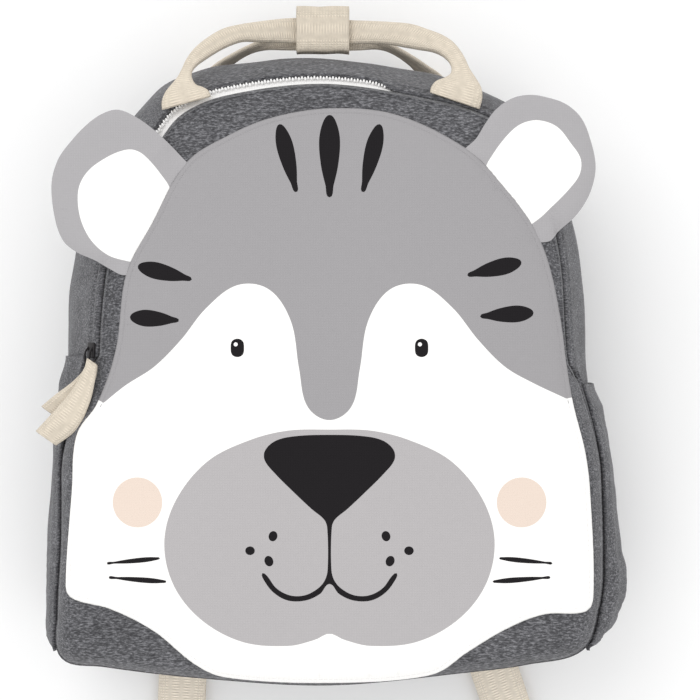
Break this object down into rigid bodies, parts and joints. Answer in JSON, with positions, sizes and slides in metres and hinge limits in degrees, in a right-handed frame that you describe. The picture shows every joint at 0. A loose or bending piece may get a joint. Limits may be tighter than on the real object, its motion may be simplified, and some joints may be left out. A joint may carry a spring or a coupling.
{
  "type": "kids animal backpack",
  "caption": "Soft children's backpack lying on its back: marl fabric body, printed animal face with flat ears on the front, zip over the top, slack grab handles, side pockets and padded straps.",
  "frame": {"origin": "middle of the footprint of the whole bag, on the surface it lies on", "axes": "+Z out of the face, +Y towards the top of the bag, +X to the viewer's right"},
  "size_m": [0.2918, 0.3756, 0.1159],
  "materials": {
    "marl": "brushed grey marl sweatshirt fabric",
    "canvas": "printed cotton canvas",
    "ear_cloth": "printed cotton canvas, light grey",
    "zip_tape": "white woven zip tape",
    "zip_coil": "white nylon coil",
    "black_metal": "satin black lacquer",
    "webbing": "cream cotton webbing",
    "dark_plastic": "plain moulded plastic"
  },
  "bodies": {
    "root": {"gusset": "marl", "front_panel": "marl", "back_panel": "marl", "face_panel": "canvas", "ear_left": "ear_cloth", "ear_right": "ear_cloth", "zip_tape": "zip_tape", "zip_coil": "zip_coil", "zip_slider": "black_metal", "zip_pull": "webbing", "handle_front": "webbing", "handle_rear": "webbing", "handle_wrap": "webbing", "pocket_left": "marl", "pocket_right": "marl", "strap_left": "marl", "strap_right": "marl", "webbing_left": "webbing", "webbing_right": "webbing", "adjuster_left": "dark_plastic", "adjuster_right": "dark_plastic"}
  },
  "joints": []
}
